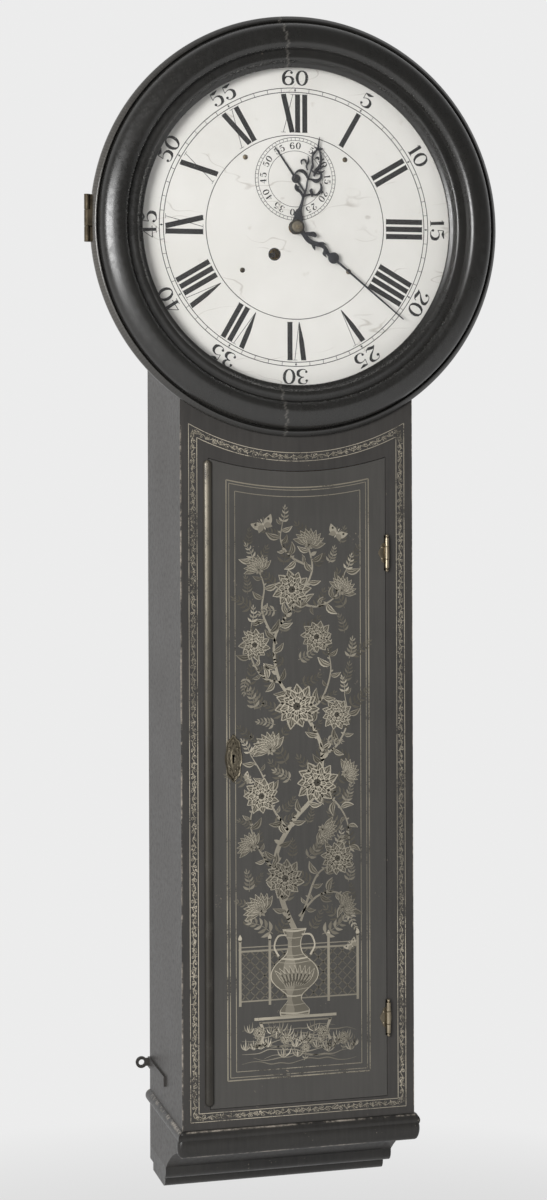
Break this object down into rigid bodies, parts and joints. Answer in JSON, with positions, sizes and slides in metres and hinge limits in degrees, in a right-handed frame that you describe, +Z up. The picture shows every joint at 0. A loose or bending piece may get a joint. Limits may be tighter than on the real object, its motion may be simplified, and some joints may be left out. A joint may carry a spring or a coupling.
{
  "type": "tavern clock",
  "caption": "Wall-hung weight-driven tavern clock: large round dial in a moulded hinged bezel above a long black trunk with a painted door and stepped base.",
  "frame": {"origin": "centre of the hanging hole on the wall face of the case", "axes": "+Z up, +Y into the wall, +X to the right as seen from the front; the dial faces -Y"},
  "size_m": [0.5304, 0.224, 1.486],
  "materials": {
    "ebony_paint": "black japanned wood, worn satin",
    "bare_pine": "bare pine, dull",
    "dial_paint": "cream dial paint, satin",
    "clear_glass": "clear",
    "yellow_brass": "aged lacquered brass",
    "train_brass": "polished wheels on steel arbors",
    "bright_steel": "filed steel",
    "black_iron": "blacked iron",
    "blued_steel": "dark blued steel",
    "lead_weight": "painted cast weight",
    "gut": "twisted gut line"
  },
  "bodies": {
    "case": {"side_left": "ebony_paint", "side_right": "ebony_paint", "head_top_board": "ebony_paint", "front_stile_left": "ebony_paint", "front_stile_right": "ebony_paint", "front_top_rail": "ebony_paint", "front_bottom_rail": "ebony_paint", "base_torus": "ebony_paint", "base_ovolo": "ebony_paint", "base_cove": "ebony_paint", "base_ledge": "ebony_paint", "base_foot_board": "ebony_paint", "hood_ring": "ebony_paint", "backboard": "bare_pine", "seatboard": "bare_pine", "seatboard_cheeks": "bare_pine", "dial_plate": "dial_paint", "front_plate": "yellow_brass", "back_plate": "yellow_brass", "plate_pillars": "yellow_brass", "dial_feet": "yellow_brass", "back_cock": "yellow_brass", "bezel_hinge_fixed": "yellow_brass", "door_hinge_fixed": "yellow_brass", "hanging_plate": "black_iron", "wall_lug_left": "black_iron", "wall_lug_right": "black_iron", "lock_keep": "black_iron", "gut_falls": "gut"},
    "bezel": {"bezel_ring": "ebony_paint", "bezel_glass": "clear_glass", "bezel_hinge_leaf": "yellow_brass"},
    "trunk_door": {"door_panel": "ebony_paint", "door_astragal": "ebony_paint", "escutcheon": "yellow_brass", "door_hinge_leaves": "yellow_brass", "lock_case": "black_iron"},
    "bolt": {"lock_bolt": "bright_steel"},
    "escape_wheel": {"escape_arbor": "train_brass", "seconds_hand": "blued_steel"},
    "third_wheel": {"third_arbor": "train_brass"},
    "centre_wheel": {"centre_arbor": "train_brass", "cannon_pinion": "yellow_brass", "minute_hand": "blued_steel", "hand_collet": "yellow_brass"},
    "minute_wheel": {"minute_wheel": "yellow_brass"},
    "hour_wheel": {"hour_wheel": "yellow_brass", "hour_hand": "blued_steel"},
    "great_wheel": {"great_wheel": "yellow_brass"},
    "barrel": {"winding_barrel": "yellow_brass"},
    "weight": {"driving_weight": "lead_weight", "pulley_frame": "bright_steel", "gut_loop": "gut"},
    "pulley": {"pulley": "yellow_brass"},
    "anchor": {"pallet_anchor": "bright_steel"},
    "pendulum": {"pendulum_rod": "bright_steel", "pendulum_bob": "yellow_brass", "rating_nut": "yellow_brass"}
  },
  "joints": [
    {"name": "bezel_swing", "type": "hinge", "parent": "case", "child": "bezel", "pos_m": [-0.265, -0.1962, -0.154], "axis": [0, 0, -1], "range_deg": [0, 110]},
    {"name": "door_swing", "type": "hinge", "parent": "case", "child": "trunk_door", "pos_m": [0.1154, -0.1996, -0.86], "axis": [0, 0, 1], "range_deg": [0, 110]},
    {"name": "bolt_throw", "type": "slide", "parent": "trunk_door", "child": "bolt", "axis": [-1, 0, 0], "range_m": [0, 0.006]},
    {"name": "escape_turn", "type": "hinge", "parent": "case", "child": "escape_wheel", "pos_m": [0, -0.136, -0.0996], "axis": [0, 1, 0], "continuous": true},
    {"name": "third_turn", "type": "hinge", "parent": "case", "child": "third_wheel", "pos_m": [0.0101, -0.136, -0.1275], "axis": [0, 1, 0], "continuous": true},
    {"name": "centre_turn", "type": "hinge", "parent": "case", "child": "centre_wheel", "pos_m": [0, -0.136, -0.16], "axis": [0, 1, 0], "continuous": true},
    {"name": "minute_wheel_turn", "type": "hinge", "parent": "case", "child": "minute_wheel", "pos_m": [0.0198, -0.136, -0.1798], "axis": [0, 1, 0], "continuous": true},
    {"name": "hour_turn", "type": "hinge", "parent": "case", "child": "hour_wheel", "pos_m": [0, -0.136, -0.16], "axis": [0, 1, 0], "continuous": true},
    {"name": "great_turn", "type": "hinge", "parent": "case", "child": "great_wheel", "pos_m": [-0.0273, -0.136, -0.1942], "axis": [0, 1, 0], "continuous": true},
    {"name": "winding", "type": "hinge", "parent": "great_wheel", "child": "barrel", "pos_m": [-0.0273, -0.136, -0.1942], "axis": [0, 1, 0], "range_deg": [0, 5760], "deforming": ["gut_falls"]},
    {"name": "weight_rise", "type": "slide", "parent": "case", "child": "weight", "axis": [0, 0, 1], "range_m": [0, 0.80435]},
    {"name": "pulley_turn", "type": "hinge", "parent": "weight", "child": "pulley", "pos_m": [-0.0213, -0.135, -1.105], "axis": [0, 1, 0], "range_deg": [0, 2095]},
    {"name": "pendulum_swing", "type": "hinge", "parent": "case", "child": "pendulum", "pos_m": [0, -0.078, -0.07], "axis": [0, 1, 0], "range_deg": [-3, 3]},
    {"name": "anchor_rock", "type": "hinge", "parent": "case", "child": "anchor", "pos_m": [0, -0.136, -0.07], "axis": [0, 1, 0], "range_deg": [-3, 3]}
  ],
  "couplings": [
    {"joint": "third_turn", "follows": "escape_turn", "ratio": -0.13333},
    {"joint": "centre_turn", "follows": "escape_turn", "ratio": 0.016667},
    {"joint": "minute_wheel_turn", "follows": "escape_turn", "ratio": -0.0055556},
    {"joint": "hour_turn", "follows": "escape_turn", "ratio": 0.0013889},
    {"joint": "great_turn", "follows": "escape_turn", "ratio": -0.0013889},
    {"joint": "weight_rise", "follows": "winding", "m_per_rad": 0.008},
    {"joint": "pulley_turn", "follows": "winding", "ratio": 0.36364},
    {"joint": "anchor_rock", "follows": "pendulum_swing", "ratio": 1}
  ]
}
